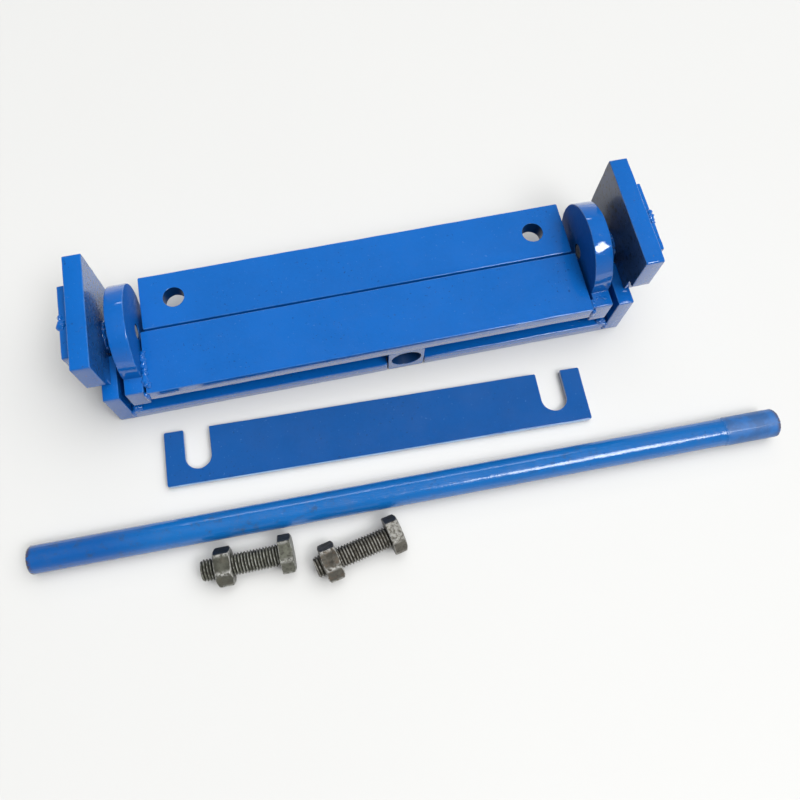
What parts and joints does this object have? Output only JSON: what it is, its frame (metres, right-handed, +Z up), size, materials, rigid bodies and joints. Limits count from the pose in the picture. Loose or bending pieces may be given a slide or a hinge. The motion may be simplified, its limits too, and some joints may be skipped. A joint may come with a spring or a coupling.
{
  "type": "sheet metal brake",
  "caption": "Small bench sheet metal brake: drilled bed, hinged bending leaf with round hinge plates, loose slotted clamp bar, lever bar and clamp bolts.",
  "frame": {"origin": "on the underside of the base plate, straight below the bend line and midway between the hinge plates; the loose kit lies in front on the same surface", "axes": "+X along the bend line to the operator's right, +Y from the operator towards the bed, +Z up"},
  "size_m": [0.4978, 0.2215, 0.086],
  "materials": {
    "blue_enamel": "glossy air-dried enamel over mill scale, welds painted over",
    "bar_enamel": "satin blue enamel",
    "handle_enamel": "glossy blue enamel, worn and stained, bare at the ends",
    "pin_steel": "turned steel, oiled",
    "bolt_steel": "dull grey phosphate with light rust"
  },
  "bodies": {
    "base": {"bed_plate": "blue_enamel", "bed_web": "blue_enamel", "base_plate": "blue_enamel", "foot_left": "blue_enamel", "foot_right": "blue_enamel", "side_plate_left": "blue_enamel", "side_plate_right": "blue_enamel", "pin_pad_left": "blue_enamel", "pin_pad_right": "blue_enamel", "hinge_pin_left": "pin_steel", "hinge_pin_right": "pin_steel", "pin_collar_left": "blue_enamel", "pin_collar_right": "blue_enamel"},
    "leaf": {"leaf_plate": "blue_enamel", "hinge_plate_left": "blue_enamel", "hinge_plate_right": "blue_enamel", "handle_socket": "blue_enamel"},
    "clamp_bar": {"clamp_bar": "bar_enamel"},
    "handle": {"handle_bar": "handle_enamel"},
    "bolt_left": {"clamp_bolt_left": "bolt_steel"},
    "nut_left": {"clamp_nut_left": "bolt_steel"},
    "bolt_right": {"clamp_bolt_right": "bolt_steel"},
    "nut_right": {"clamp_nut_right": "bolt_steel"}
  },
  "joints": [
    {"name": "leaf_hinge", "type": "hinge", "parent": "base", "child": "leaf", "pos_m": [0, 0, 0.042], "axis": [-1, 0, 0], "range_deg": [0, 120]},
    {"name": "clamp_bar_lift", "type": "slide", "parent": "base", "child": "clamp_bar", "axis": [0, 0, 1], "range_m": [0, 0.12]},
    {"name": "handle_lift", "type": "slide", "parent": "base", "child": "handle", "axis": [0, 0, 1], "range_m": [0, 0.12]},
    {"name": "bolt_left_lift", "type": "slide", "parent": "base", "child": "bolt_left", "axis": [0, 0, 1], "range_m": [0, 0.12]},
    {"name": "nut_left_turn", "type": "hinge", "parent": "bolt_left", "child": "nut_left", "pos_m": [-0.1198, -0.15795, 0.011], "axis": [1, 0.007, 0], "continuous": true},
    {"name": "bolt_right_lift", "type": "slide", "parent": "base", "child": "bolt_right", "axis": [0, 0, 1], "range_m": [0, 0.12]},
    {"name": "nut_right_turn", "type": "hinge", "parent": "bolt_right", "child": "nut_right", "pos_m": [-0.05307, -0.16828, 0.011], "axis": [0.9791, 0.2036, 0], "continuous": true}
  ]
}
